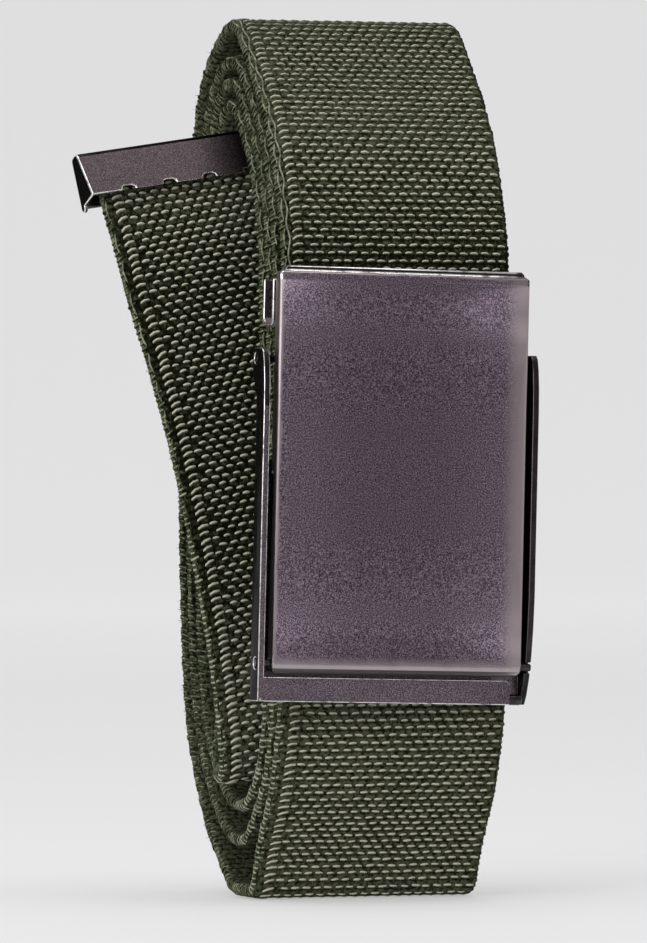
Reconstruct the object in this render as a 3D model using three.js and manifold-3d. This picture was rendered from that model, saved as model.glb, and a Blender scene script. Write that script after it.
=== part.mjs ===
import * as THREE from "three";
import { mergeVertices } from "three/addons/utils/BufferGeometryUtils.js";
import Module from "manifold-3d";

// All sizes in millimetres. X runs across the belt, Y away from the front of the buckle, Z up.
// Y = 0 is the front face of the outermost strap at the top of the buckle, Z = 0 the floor.

const wasm = await Module();
wasm.setup();

// Strap
const STRAP_WIDTH = 38;
const STRAP_THICKNESS = 2.8;
const STRAP_EDGE = 0.8;
const LONGEST_STEP = 7;
const LARGEST_TURN = THREE.MathUtils.degToRad(7.5);

// Centre line of the strap, as [y, z], from the clamp up over the coil, down behind it and under it
const FIRST_TURN = [
  [1.3, 98.5], [1.6, 102.7], [4, 111], [7.75, 119.6], [10.8, 123.6], [13.5, 127], [17.4, 131], [21.2, 135],
  [23.7, 137.1], [26.5, 137.9], [29.3, 137.4], [32.8, 135.6], [38.1, 131.9], [42.5, 126], [44.4, 120.4],
  [46.5, 110.6], [48.3, 98.8], [50.6, 80.6], [51.5, 66], [51.2, 54], [50.1, 40], [48.9, 31.4], [46.9, 24.7],
  [42.7, 17.1], [38.3, 11.2], [34, 7.3], [30.7, 4.3], [28.6, 2.2], [27, 1.4], [26, 1.4], [20.5, 1.4],
  [15, 1.4], [14, 1.4], [12.9, 2.3], [12.2, 4.6], [11.6, 8], [10.6, 11.4], [9.1, 14.4], [7.3, 17.5],
  [5.9, 20.8],
  [3.5, 27.4], [2.6, 34], [2.4, 42],
];
const SECOND_TURN = [
  [3.2, 56], [4.4, 70], [5.3, 83], [5.5, 93], [5.8, 102], [7.4, 110.4], [10.5, 117.8], [13.6, 122.1],
  [16.7, 125.7], [20.1, 128.8], [23, 131.1], [26.2, 132.1], [29.7, 131.9], [33.5, 130.1], [36.5, 126.9],
  [38.9, 123], [40.7, 118], [42.5, 110], [44.3, 98], [46.6, 80], [47.6, 66], [47.4, 54.5], [46.2, 40],
  [44.6, 31], [42.4, 25.3], [38.6, 19.1], [34, 14.1], [29.7, 11], [26.2, 9.5], [23, 9.1], [20.4, 9.4],
  [17.9, 10.8],
  [15.4, 13.1], [12.7, 15.8], [10.3, 18.8], [8.5, 22.6], [6.9, 28], [6.1, 34], [5.9, 44],
];
const THIRD_TURN = [
  [6.6, 56], [7.6, 70], [8.4, 83], [8.6, 93], [9, 102], [10.6, 109.6], [13.6, 116.6], [16.5, 120.4],
  [19.3, 123.6], [22.1, 126.3], [24.4, 128.1], [26.9, 128.8], [29.8, 128.4], [32.7, 126.5], [35, 123.2],
  [36.8, 118], [38.6, 110], [40.4, 98], [42.7, 80], [43.7, 66], [43.4, 54.5], [42, 40], [40.3, 31],
  [38.4, 26.2], [35.3, 21.8], [31.5, 18.1], [27.8, 15.8], [24.5, 14.8], [21.7, 14.7], [19.2, 15.3],
  [16.9, 16.7], [14.6, 18.8], [12.4, 22], [10.7, 27], [9.8, 34], [9.5, 44],
];
const FOURTH_TURN = [
  [9.9, 56], [10.8, 70], [11.5, 83], [11.7, 93], [12.2, 102], [13.8, 108.8], [16.7, 115.2], [19.5, 118.9],
  [22.1, 121.9], [24.6, 124.2], [27.5, 125.3], [29.9, 124.6], [31.6, 122.4], [32.6, 118.8], [33.2, 113],
  [33.4, 100], [32.2, 84], [30.4, 66], [29.6, 52],
];

// Free end: [x, y, z] of the strap's centre line from behind it, round its lower fold and up to the tip
const FREE_END = [
  [-0.4, 29, 42],
  [-1.1, 28, 33],
  [-2, 26.6, 26.4],
  [-2.7, 24.7, 22.2],
  [-3.4, 21.9, 20.3],
  [-4, 19.1, 21.6],
  [-4.6, 17.5, 25],
  [-5.9, 16.3, 33],
  [-7.5, 15.1, 42],
  [-9.4, 14.4, 51],
  [-11.9, 14.1, 63],
  [-14.3, 14.7, 74],
  [-17.4, 16.6, 87],
  [-19.9, 18.9, 97],
  [-21.3, 20.6, 104],
  [-22.4, 22.3, 109.2],
  [-23, 23.7, 112.55],
  [-23.6, 25.1, 115.9],
];

// Buckle
const ROLL = THREE.MathUtils.degToRad(1.4);
const BUCKLE_CENTRE = { x: -0.7, z: 66.9 };
const CLEAR = 0.3;

const COVER_WIDTH = 41.4;
const COVER_HALF_HEIGHT = 31.3;
const COVER_FRONT_Y = -3.6;
const COVER_CROWN = 0.5;
const COVER_SHEET = 0.6;
const COVER_BACK_Y = -1.3;
const COVER_BOTTOM_BEND = 1.7;
const COVER_TOP_BEND = 0.6;
const COVER_SIDE_BEND = 0.8;
const COVER_CORNER = 1.3;
const LIP_HEIGHT = 0.9;

const PIN_RADIUS = 0.6;
const HINGE_Y = -2.5;
const HINGE_Z = -29.7;

const FRAME_LEFT_X = -23.1;
const FRAME_RIGHT_X = 22.5;
const WALL = 1;
const FRAME_FRONT_Y = -4.1;
const FRAME_BACK_Y = 0.6;
const FRAME_BEND = 1.2;
const BACK_PLATE = 0.6;
const BACK_PLATE_TOP_Z = 2;
const FRAME_TOP_Z = 19.2;
const FRAME_BOTTOM_Z = -35.6;

const BAR_RIGHT_X = 18.6;
const BAR_TOP_Z = -31.8;
const BAR_SHEET = 0.8;

const ROD_RADIUS = 0.85;
const ROD_RIGHT_X = 20.9;
const ROD_Z = -34.8;

const CLAMP_WIDTH = 42;
const CLAMP_DEPTH = 4.8;
const CLAMP_HEIGHT = 7.4;
const CLAMP_BOTTOM_Z = 22.6;
const CLAMP_CENTRE_Y = 1.4;
const CRIMP_SHEET = 0.6;
const LINK_Y = 0.3;
const LINK_Z = 17.6;
const LINK_KNUCKLE = 1.3;
const LUG_BACK_Y = 1.7;

const TIP_WIDTH = 42;
const TIP_HEIGHT = 8;
const TIP_DEPTH_CLOSED = 2.9;
const TIP_DEPTH_OPEN = 6;
const TIP_PAST_STRAP = 4.6;
const TIP_BITES = [14.6, 7.6, 0.8, -6, -12.8];
const TIP_FOOT_RADIUS = 0.75;

// Solids from three.js geometry, and back
function solid(geometry) {
  const bare = new THREE.BufferGeometry();
  bare.setAttribute("position", geometry.getAttribute("position"));
  if (geometry.index) bare.setIndex(geometry.index);
  const merged = mergeVertices(bare, 1e-4);
  return new wasm.Manifold(
    new wasm.Mesh({
      numProp: 3,
      vertProperties: new Float32Array(merged.attributes.position.array),
      triVerts: new Uint32Array(merged.index.array),
    }),
  );
}

function geometryOf(body) {
  const mesh = body.getMesh();
  const geometry = new THREE.BufferGeometry();
  geometry.setAttribute("position", new THREE.BufferAttribute(new Float32Array(mesh.vertProperties), 3));
  geometry.setIndex(new THREE.BufferAttribute(new Uint32Array(mesh.triVerts), 1));
  const flat = geometry.toNonIndexed();
  flat.computeVertexNormals();
  return flat;
}

// A closed outline pushed along Z from z0 to z1
function prism(outline, z0, z1) {
  const shape = new THREE.Shape(outline.map(([a, b]) => new THREE.Vector2(a, b)));
  const geometry = new THREE.ExtrudeGeometry(shape, { depth: z1 - z0, bevelEnabled: false, steps: 1 });
  geometry.translate(0, 0, z0);
  return geometry;
}

// Outlines drawn in the x-y, x-z and y-z planes
function alongZ(outline, z0, z1) {
  return solid(prism(outline, z0, z1));
}

function alongY(outline, y0, y1) {
  const geometry = prism(outline, -y1, -y0);
  geometry.rotateX(Math.PI / 2);
  return solid(geometry);
}

function alongX(outline, x0, x1) {
  const geometry = prism(outline, x0, x1);
  geometry.applyMatrix4(new THREE.Matrix4().set(0, 0, 1, 0, 1, 0, 0, 0, 0, 1, 0, 0, 0, 0, 0, 1));
  return solid(geometry);
}

function box(x0, x1, y0, y1, z0, z1) {
  const geometry = new THREE.BoxGeometry(x1 - x0, y1 - y0, z1 - z0);
  geometry.translate((x0 + x1) / 2, (y0 + y1) / 2, (z0 + z1) / 2);
  return solid(geometry);
}

// A round pin along X
function pin(radius, x0, x1, y, z, sides = 20) {
  const geometry = new THREE.CylinderGeometry(radius, radius, x1 - x0, sides);
  geometry.rotateZ(Math.PI / 2);
  geometry.translate((x0 + x1) / 2, y, z);
  return solid(geometry);
}

// Domed end of a rod along X, facing right
function domedEnd(radius, height, x, y, z) {
  const profile = [];
  for (let i = 0; i <= 6; i++) {
    const a = (i / 6) * (Math.PI / 2);
    profile.push(new THREE.Vector2(radius * Math.sin(a), height * Math.cos(a)));
  }
  profile.push(new THREE.Vector2(0, 0));
  const geometry = new THREE.LatheGeometry(profile.reverse(), 20);
  geometry.rotateZ(-Math.PI / 2);
  geometry.translate(x, y, z);
  return solid(geometry);
}

// Points of an arc about (a, b), from one angle to another in degrees
function arc(a, b, radius, from, to, steps) {
  return Array.from({ length: steps + 1 }, (_, i) => {
    const t = THREE.MathUtils.degToRad(from + ((to - from) * i) / steps);
    return [a + radius * Math.cos(t), b + radius * Math.sin(t)];
  });
}

// The strap's centre line from the clamp, round the coil, to the tip
function strapCurve() {
  const inClamp = [1.1, 5.5].map((height) => {
    const up = CLAMP_BOTTOM_Z + height;
    return [BUCKLE_CENTRE.x + up * Math.sin(ROLL), CLAMP_CENTRE_Y, BUCKLE_CENTRE.z + up * Math.cos(ROLL)];
  });
  const turns = [...FIRST_TURN, ...SECOND_TURN, ...THIRD_TURN, ...FOURTH_TURN].map(([y, z]) => [0, y, z]);
  const rows = [...inClamp, ...turns, ...FREE_END];
  return new THREE.CatmullRomCurve3(rows.map((row) => new THREE.Vector3(...row)), false, "centripetal");
}

// Shares of the curve's length at which the strap gets a section: closer together in the folds
function stations(curve) {
  const steps = Math.round(curve.getLength() * 4);
  const shares = [0];
  let last = curve.getTangentAt(0);
  for (let i = 1; i < steps; i++) {
    const direction = curve.getTangentAt(i / steps);
    const far = (i / steps - shares.at(-1)) * curve.getLength();
    if (far < LONGEST_STEP && direction.angleTo(last) < LARGEST_TURN) continue;
    shares.push(i / steps);
    last = direction;
  }
  if (1 - shares.at(-1) < 2 / curve.getLength()) shares.pop();
  return [...shares, 1];
}

// Directions along, across and out of the strap at a share t of its length
function strapFrame(curve, t) {
  const along = curve.getTangentAt(t);
  const across = new THREE.Vector3(1, 0, 0).addScaledVector(along, -along.x).normalize();
  const out = new THREE.Vector3().crossVectors(along, across);
  return { at: curve.getPointAt(t), along, across, out };
}

// The strap's section: a flat oblong with softened edges
function strapSection() {
  const w = STRAP_WIDTH / 2;
  const h = STRAP_THICKNESS / 2;
  const e = STRAP_EDGE;
  return [[-w, -h + e], [-w + e, -h], [w - e, -h], [w, -h + e], [w, h - e], [w - e, h], [-w + e, h],
    [-w, h - e]];
}

// A section carried along a curve and closed at both ends
function loft(section, frames) {
  const n = section.length;
  const positions = [];
  frames.forEach(({ at, across, out }) =>
    section.forEach(([a, b]) => {
      const p = at.clone().addScaledVector(across, a).addScaledVector(out, b);
      positions.push(p.x, p.y, p.z);
    }),
  );
  const index = [];
  for (let i = 0; i + 1 < frames.length; i++)
    for (let j = 0; j < n; j++) {
      const a = i * n + j;
      const b = i * n + ((j + 1) % n);
      index.push(a, b, a + n, b, b + n, a + n);
    }
  const last = (frames.length - 1) * n;
  for (let j = 1; j + 1 < n; j++) {
    index.push(0, j + 1, j);
    index.push(last, last + j, last + j + 1);
  }
  const geometry = new THREE.BufferGeometry();
  geometry.setAttribute("position", new THREE.BufferAttribute(new Float32Array(positions), 3));
  geometry.setIndex(index);
  return solid(geometry);
}

function strap() {
  const curve = strapCurve();
  curve.arcLengthDivisions = 4000;
  const frames = stations(curve).map((share) => strapFrame(curve, share));
  return { body: loft(strapSection(), frames), end: frames.at(-1) };
}

// Side view of a fitting folded over a strap's end: closed at z = 0, open at z = height
function foldedSide(closed, open, height, inset) {
  const c = closed / 2 - inset;
  const o = open / 2 - inset;
  const top = inset ? height + 1 : height;
  const slope = (o - c) / (height - inset);
  const corner = Math.min(0.8, c - 0.2);
  return [[-c + corner, inset], [c - corner, inset], [c - 0.25, inset + 0.25], [c, inset + corner],
    [c + slope * (top - inset), top], [-c - slope * (top - inset), top], [-c, inset + corner],
    [-c + 0.25, inset + 0.25]];
}

function folded(width, closed, open, height) {
  const outer = alongX(foldedSide(closed, open, height, 0), -width / 2, width / 2);
  return outer.subtract(alongX(foldedSide(closed, open, height, CRIMP_SHEET), -width, width));
}

// The tip is placed on the strap's last frame, with its open side towards the strap
function strapTip(end) {
  const w = TIP_WIDTH / 2;
  const h = TIP_HEIGHT;
  let body = folded(TIP_WIDTH, TIP_DEPTH_CLOSED, TIP_DEPTH_OPEN, h);
  const side = foldedSide(TIP_DEPTH_CLOSED, TIP_DEPTH_OPEN, h, 0);
  const footY = TIP_DEPTH_OPEN / 2 - TIP_FOOT_RADIUS;
  for (const [x0, x1] of [[-w, -w + CRIMP_SHEET], [w - CRIMP_SHEET, w]])
    body = body.add(alongX(side, x0, x1)).add(pin(TIP_FOOT_RADIUS, x0, x1, footY, h, 12));
  for (const x of TIP_BITES) {
    const bite = [[x - 1.3, h + 1], [x - 1, h - 0.5], [x - 0.6, h - 0.75], [x + 0.6, h - 0.75],
      [x + 1, h - 0.5], [x + 1.3, h + 1]];
    body = body.subtract(alongY(bite, -TIP_DEPTH_OPEN, 0));
  }
  const across = end.across.clone().negate();
  const basis = new THREE.Matrix4().makeBasis(across, end.out.clone(), end.along.clone().negate());
  basis.setPosition(end.at.clone().addScaledVector(end.along, TIP_PAST_STRAP));
  return body.transform(Array.from(basis.elements));
}

function endClamp() {
  let body = folded(CLAMP_WIDTH, CLAMP_DEPTH, CLAMP_DEPTH, CLAMP_HEIGHT);
  body = body.translate([0, CLAMP_CENTRE_Y, CLAMP_BOTTOM_Z]);
  const half = FRAME_RIGHT_X - WALL - 1.6;
  const top = CLAMP_BOTTOM_Z + 0.5;
  const front = LINK_Y - LINK_KNUCKLE;
  const tab = [[front, LINK_Z], [front + 0.1, LINK_Z + 1.6], [CLAMP_CENTRE_Y - 1.6, top],
    [CLAMP_CENTRE_Y - 0.4, top], [LINK_Y + 0.4, LINK_Z + 2.6], [LINK_Y + 0.4, LINK_Z]];
  body = body.add(alongX(tab, -half, half));
  body = body.add(pin(LINK_KNUCKLE, -half, half, LINK_Y, LINK_Z));
  return body.subtract(pin(PIN_RADIUS + CLEAR, -CLAMP_WIDTH, CLAMP_WIDTH, LINK_Y, LINK_Z));
}

// Side view of the frame's walls, front edge to the left
function wallOutline(frontCorner) {
  const top = FRAME_TOP_Z;
  const bottom = FRAME_BOTTOM_Z;
  const front = FRAME_FRONT_Y;
  const lower = frontCorner
    ? [[front, bottom + 17], [front + 0.3, bottom + 12], [front + 0.9, bottom + 7.5],
      [front + 1.7, bottom + 4], [front + 2.7, bottom + 1.4], [front + 3.6, bottom]]
    : [[front, bottom + 0.4], [front + 0.3, bottom]];
  const back = FRAME_BACK_Y;
  return [[back, bottom], [back, top - 1.2], [back - 1, top - 0.2], [back - 1.6, top], [front + 1.6, top],
    [front + 1, top - 0.6], [front + 0.5, top - 2.4], [front + 0.15, top - 5], [front, top - 9], ...lower];
}

function buckleFrame() {
  const left = FRAME_LEFT_X;
  const right = FRAME_RIGHT_X;
  const back = FRAME_BACK_Y;
  const front = FRAME_FRONT_Y;
  const r = FRAME_BEND;
  const channel = [[left, front], [left, back - r], ...arc(left + r, back - r, r, 180, 90, 5),
    ...arc(right - r, back - r, r, 90, 0, 5), [right, front], [right - WALL, front],
    [right - WALL, back - BACK_PLATE], [left + WALL, back - BACK_PLATE], [left + WALL, front]];
  const bent = alongZ(channel, FRAME_BOTTOM_Z, FRAME_TOP_Z);
  const leftSide = alongX(wallOutline(false), left - 1, 0);
  const rightSide = alongX(wallOutline(true), -0.01, right + 1);
  let body = bent.intersect(leftSide.add(rightSide));
  const lug = [[-1, LINK_Z - 4.5], [back, LINK_Z - 4.5], [LUG_BACK_Y, LINK_Z - 2.2],
    [LUG_BACK_Y, LINK_Z + 0.8], [LUG_BACK_Y - 0.5, LINK_Z + 1.6], [LUG_BACK_Y - 1.4, FRAME_TOP_Z],
    [-1, FRAME_TOP_Z]];
  body = body.add(alongX(lug, left, left + WALL)).add(alongX(lug, right - WALL, right));
  const bar = [[left, front + 2], [left, front + 0.5], [left + 0.5, front], [BAR_RIGHT_X, front],
    [BAR_RIGHT_X, front + BAR_SHEET], [left + 1.4, front + BAR_SHEET], [left + 1, front + 2]];
  const barFace = [[left, BAR_TOP_Z], [BAR_RIGHT_X - 0.5, BAR_TOP_Z], [BAR_RIGHT_X, BAR_TOP_Z - 0.5],
    [BAR_RIGHT_X, FRAME_BOTTOM_Z], [left + 1.2, FRAME_BOTTOM_Z], [left, FRAME_BOTTOM_Z + 0.4]];
  body = body.add(alongZ(bar, FRAME_BOTTOM_Z, BAR_TOP_Z).intersect(alongY(barFace, front - 1, back + 1)));
  body = body.subtract(
    box(left + WALL, right - WALL, back - BACK_PLATE - 0.5, back + 1, BACK_PLATE_TOP_Z, FRAME_TOP_Z + 1),
  );
  for (const [y, z] of [[HINGE_Y, HINGE_Z], [LINK_Y, LINK_Z]])
    body = body.subtract(pin(PIN_RADIUS + CLEAR, left - 1, right + 1, y, z));
  return body;
}

// A pin through both walls, flush with their outer faces
function flushPin(y, z) {
  return pin(PIN_RADIUS, FRAME_LEFT_X, FRAME_RIGHT_X, y, z);
}

// Front line of the cover, slightly crowned along its length
function coverFront(z) {
  return COVER_FRONT_Y - COVER_CROWN * (1 - (z / COVER_HALF_HEIGHT) ** 2);
}

function coverSide(inset) {
  const h = COVER_HALF_HEIGHT;
  const bottom = Math.max(0.3, COVER_BOTTOM_BEND - inset);
  const top = Math.max(0.2, COVER_TOP_BEND - inset);
  const low = -h + inset;
  const high = h - inset;
  const front = [];
  for (let i = 0; i <= 12; i++) {
    const z = low + bottom + ((high - top - low - bottom) * i) / 12;
    front.push([coverFront(z) + inset, z]);
  }
  const foot = arc(front[0][0] + bottom, low + bottom, bottom, 270, 180, 6);
  const head = arc(front[12][0] + top, high - top, top, 180, 90, 4);
  const deep = inset ? COVER_BACK_Y + 1 : COVER_BACK_Y;
  return [...foot.slice(0, -1), ...front, ...head.slice(1), [deep, high], [deep, low]];
}

function coverAcross(inset) {
  const w = COVER_WIDTH / 2 - inset;
  const front = COVER_FRONT_Y - COVER_CROWN - 0.1;
  const r = COVER_SIDE_BEND;
  if (inset) return [[-w, 1], [-w, front], [w, front], [w, 1]];
  const y = COVER_FRONT_Y - COVER_CROWN;
  return [[-w, 1], ...arc(-w + r, y + r + 0.15, r, 180, 255, 4), [-w + 2.2, y], [w - 2.2, y],
    ...arc(w - r, y + r + 0.15, r, 285, 360, 4), [w, 1]];
}

function coverFace() {
  const w = COVER_WIDTH / 2;
  const h = COVER_HALF_HEIGHT;
  const r = COVER_CORNER;
  return [...arc(-w + r, -h + r, r, 180, 270, 4), ...arc(w - r, -h + r, r, 270, 360, 4),
    ...arc(w - 0.7, h - 0.7, 0.7, 0, 90, 3), ...arc(-w + 0.7, h - 0.7, 0.7, 90, 180, 3)];
}

function coverPlate() {
  const w = COVER_WIDTH / 2;
  const h = COVER_HALF_HEIGHT;
  const t = COVER_SHEET;
  const outer = alongX(coverSide(0), -w, w)
    .intersect(alongZ(coverAcross(0), -h - 1, h + 1))
    .intersect(alongY(coverFace(), -8, 2));
  const inner = alongX(coverSide(t), -w + t, w - t);
  const lip = [[-w + 1.4, h - 0.5], [-w + 0.9, h + 0.2], [-w + 1.5, h + LIP_HEIGHT],
    [w - 1.2, h + LIP_HEIGHT], [w - 0.7, h + LIP_HEIGHT - 0.4], [w - 0.7, h - 0.5]];
  return outer
    .subtract(inner)
    .add(alongY(lip, COVER_FRONT_Y + 0.6, COVER_FRONT_Y + 1.4))
    .subtract(pin(PIN_RADIUS + CLEAR, -w - 1, w + 1, HINGE_Y, HINGE_Z));
}

function crossRod() {
  const left = FRAME_LEFT_X + 1.4;
  const y = FRAME_FRONT_Y + BAR_SHEET + CLEAR + ROD_RADIUS;
  const dome = domedEnd(ROD_RADIUS, 0.5, ROD_RIGHT_X - 0.05, y, ROD_Z);
  return pin(ROD_RADIUS, left, ROD_RIGHT_X, y, ROD_Z).add(dome);
}

// Materials, one for each named piece
const FINISH = {
  web: { color: 0x2c3626, roughness: 0.9, metalness: 0 },
  gunmetal: { color: 0x4c434d, roughness: 0.42, metalness: 0.85 },
  dark_pin: { color: 0x2a2628, roughness: 0.3, metalness: 0.85 },
};

function piece(name, body, finish) {
  const mesh = new THREE.Mesh(geometryOf(body), new THREE.MeshStandardMaterial(FINISH[finish]));
  mesh.name = name;
  return mesh;
}

// The buckle is modelled upright about its own centre, then rolled into place
function placed(body) {
  const turn = new THREE.Matrix4().makeRotationY(ROLL);
  turn.setPosition(BUCKLE_CENTRE.x, 0, BUCKLE_CENTRE.z);
  return body.transform(Array.from(turn.elements));
}

const web = strap();
const belt = new THREE.Group();
belt.add(piece("strap", web.body, "web"));
belt.add(piece("strap_tip", strapTip(web.end), "gunmetal"));
belt.add(piece("end_clamp", placed(endClamp()), "gunmetal"));
belt.add(piece("link_pin", placed(flushPin(LINK_Y, LINK_Z)), "dark_pin"));
belt.add(piece("buckle_frame", placed(buckleFrame()), "gunmetal"));
belt.add(piece("cross_rod", placed(crossRod()), "dark_pin"));
belt.add(piece("hinge_pin", placed(flushPin(HINGE_Y, HINGE_Z)), "dark_pin"));
belt.add(piece("cover_plate", placed(coverPlate()), "gunmetal"));

// Origin at the middle of the underside of the whole belt
belt.updateMatrixWorld(true);
const extent = new THREE.Box3().setFromObject(belt);
belt.position.set(-(extent.min.x + extent.max.x) / 2, -(extent.min.y + extent.max.y) / 2, -extent.min.z);

export default belt;
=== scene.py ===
"""Looks of an elastic web belt: a flattened upright coil with a hinged plate buckle in front."""
import math

import bmesh
import bpy
import numpy as np
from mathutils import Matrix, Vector


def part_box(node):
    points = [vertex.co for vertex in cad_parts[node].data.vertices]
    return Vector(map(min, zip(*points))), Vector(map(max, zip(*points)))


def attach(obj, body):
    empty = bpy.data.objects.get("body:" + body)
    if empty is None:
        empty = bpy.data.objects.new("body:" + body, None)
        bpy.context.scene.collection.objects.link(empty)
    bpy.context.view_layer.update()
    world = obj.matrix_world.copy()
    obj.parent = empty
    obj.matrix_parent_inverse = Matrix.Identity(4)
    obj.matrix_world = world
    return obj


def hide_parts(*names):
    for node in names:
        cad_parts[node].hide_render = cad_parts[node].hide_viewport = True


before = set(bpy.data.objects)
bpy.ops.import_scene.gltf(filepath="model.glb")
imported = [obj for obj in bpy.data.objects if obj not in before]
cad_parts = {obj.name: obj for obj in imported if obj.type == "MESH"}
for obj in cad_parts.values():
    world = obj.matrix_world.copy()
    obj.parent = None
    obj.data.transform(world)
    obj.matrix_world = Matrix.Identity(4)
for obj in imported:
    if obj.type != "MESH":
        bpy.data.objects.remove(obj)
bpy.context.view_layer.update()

# Lengths below are in millimetres, X across the strap, Y away from the front, Z up from the floor
MM = 0.001
STRAP_HIGH_CORNER = (19, 52.9, 139.3)
CAMERA_TURN = math.radians(20)
CAMERA_DISTANCE = 1300
CAMERA_HEIGHT = 70.8
LENS = 317.6
SENSOR_WIDTH = 36
SHIFT = (-0.0793, -0.0228)
NEAREST_SEEN = 50
FARTHEST_SEEN = 20000

# Centre line of the strap, as [y, z], from the clamp up over the coil, down behind it and under it
CLAMP_ROWS = [[-0.1, 1.4, 90.6], [0, 1.4, 95]]
FIRST_TURN = [
    [1.3, 98.5], [1.6, 102.7], [4, 111], [7.75, 119.6], [10.8, 123.6], [13.5, 127], [17.4, 131],
    [21.2, 135], [23.7, 137.1], [26.5, 137.9], [29.3, 137.4], [32.8, 135.6], [38.1, 131.9], [42.5, 126],
    [44.4, 120.4], [46.5, 110.6], [48.3, 98.8], [50.6, 80.6], [51.5, 66], [51.2, 54], [50.1, 40],
    [48.9, 31.4], [46.9, 24.7], [42.7, 17.1], [38.3, 11.2], [33.8, 7.2], [29.8, 4.1], [27.3, 2.2],
    [25, 1.4], [24, 1.4], [21, 1.4], [18, 1.4], [17, 1.4], [15.8, 2.3], [14.6, 4.9], [13.3, 7.7],
    [11.3, 11.1], [9.3, 13.9], [7.3, 17], [6, 20], [3.5, 27.4], [2.6, 34], [2.4, 42],
]
SECOND_TURN = [
    [3.2, 56], [4.4, 70], [5.3, 83], [5.5, 93], [5.8, 102], [7.4, 110.4], [10.5, 117.8], [13.6, 122.1],
    [16.7, 125.7], [20.1, 128.8], [23, 131.1], [26.2, 132.1], [29.7, 131.9], [33.5, 130.1], [36.5, 126.9],
    [38.9, 123], [40.7, 118], [42.5, 110], [44.3, 98], [46.6, 80], [47.6, 66], [47.4, 54.5], [46.2, 40],
    [44.6, 31], [42.4, 25.3], [38.6, 19.1], [34, 14.1], [29.7, 11], [26.2, 9.5], [23, 9.1], [20.4, 9.4],
    [17.9, 10.8], [15.4, 13.1], [12.7, 15.8], [10.3, 18.8], [8.5, 22.6], [6.9, 28], [6.1, 34], [5.9, 44],
]
THIRD_TURN = [
    [6.6, 56], [7.6, 70], [8.4, 83], [8.6, 93], [9, 102], [10.6, 109.6], [13.6, 116.6], [16.5, 120.4],
    [19.3, 123.6], [22.1, 126.3], [24.4, 128.1], [26.9, 128.8], [29.8, 128.4], [32.7, 126.5], [35, 123.2],
    [36.8, 118], [38.6, 110], [40.4, 98], [42.7, 80], [43.7, 66], [43.4, 54.5], [42, 40], [40.3, 31],
    [38.4, 26.2], [35.3, 21.8], [31.5, 18.1], [27.8, 15.8], [24.5, 14.8], [21.7, 14.7], [19.2, 15.3],
    [16.9, 16.7], [14.6, 18.8], [12.4, 22], [10.7, 27], [9.8, 34], [9.5, 44],
]
FOURTH_TURN = [
    [9.9, 56], [10.8, 70], [11.5, 83], [11.7, 93], [12.2, 102], [13.8, 108.8], [16.7, 115.2], [19.5, 118.9],
    [22.1, 121.9], [24.6, 124.2], [27.5, 125.3], [29.9, 124.6], [31.6, 122.4], [32.6, 118.8], [33.2, 113],
    [33.4, 100], [32.2, 84], [30.4, 66], [29.6, 52],
]
FREE_END = [
    [-0.4, 29, 42], [-1.1, 28, 33], [-2, 26.6, 26.4], [-2.7, 24.7, 22.2], [-3.4, 21.9, 20.3],
    [-4, 19.1, 21.6], [-4.6, 17.5, 25], [-5.9, 16.3, 33], [-7.5, 15.1, 42], [-9.4, 14.4, 51],
    [-11.9, 14.1, 63], [-14.3, 14.7, 74], [-17.4, 16.6, 87], [-19.9, 18.9, 97], [-21.3, 20.6, 104],
    [-22.4, 22.3, 109.2], [-23, 23.7, 112.55], [-23.6, 25.1, 115.9],
]
PATH_STEP = 0.8
WHOLE_PATH = 2000

# Cover of the buckle
COVER_HALF_WIDTH = 20.7
COVER_HALF_HEIGHT = 31.3
COVER_ROLL = math.radians(1.4)
COVER_CENTRE = (-0.7, 0, 66.9)

# The rims of the metal are worn bare up to here across the buckle, and painted dark as shade a little
# further on
RIM_SHADE_FROM = 18.5
RIM_SHADE_BLEND = 0.6

# Web under the yarns
WEB_WIDTH = 37.4
WEB_THICKNESS = 2.3
WEB_CORNER = 0.95

# Weave: rows of short floats, with a longer yarn at the left margin of each row
ROW_SPACING = 1.17
FLOAT_PITCH = 1.83
FLOATS_PER_ROW = 18
FIRST_FLOAT = -14.64
MARGIN_ACROSS = -16.25
YARN_HEIGHT = 1.04
YARN_JITTER = 0.08
YARN_TURN = 0.13
YARN_SIZES = (0.92, 1.08)

# Distances along the strap where its rows start, and between which its outer face shows
FIRST_ROW = 8.5
OUTSIDE_SHOWS_TO = 424
FREE_END_SHOWS_FROM = 985
FREE_END_STOPS_SHORT = 1

# Edges: a soft bead inside wraps of yarn, with two cords on the left and loose fibres
EDGE_START = 2
EDGE_STOPS_SHORT = 4
WRAP_CENTRE = 17.9
WRAP_REACH = 0.88
WRAP_SPACING = 0.93
WRAP_JITTER = 0.03
BEAD_ACROSS = 17.8
BEAD_RADIUS = 1.0
CORD_RADIUS = 0.14
CORD_WAVE_LENGTH = 4.7
FUZZ_ACROSS = -18.2
FUZZ_SPACING = 0.25
FUZZ_JITTER = 0.8
FUZZ_TURN = 3.1
CORDS = {
    "outer": {"across": -18.4, "out": 0.8, "wave": 0.2, "end": None},
    "inner": {"across": -17.9, "out": 1.1, "wave": -0.2, "end": 72},
}

# Changes of a yarn's tone, and how much of the tone goes into its colour: painted shade on wraps that face
# the rear, a darker tone on wraps above the change height, and painted light over the free end
TONE_WEIGHT = 0.08
REAR_WRAP_SHADE = -3.8
FREE_END_LIGHT = 2.6
CHANGE_HEIGHT = 70
BELOW_ALL = -1000

# Share of the strap's outside that faces the rear, from where the tone change (painted shade on the wraps)
# starts to where it is whole
REAR_SHADE_RANGE = (-0.5, 0.3)

# Heights between which the web turns from straight to bent, where yarn and web are painted paler as light
# on the top and the bottom of the coil
FOLDS = [(95, 120), (60, 25)]
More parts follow.
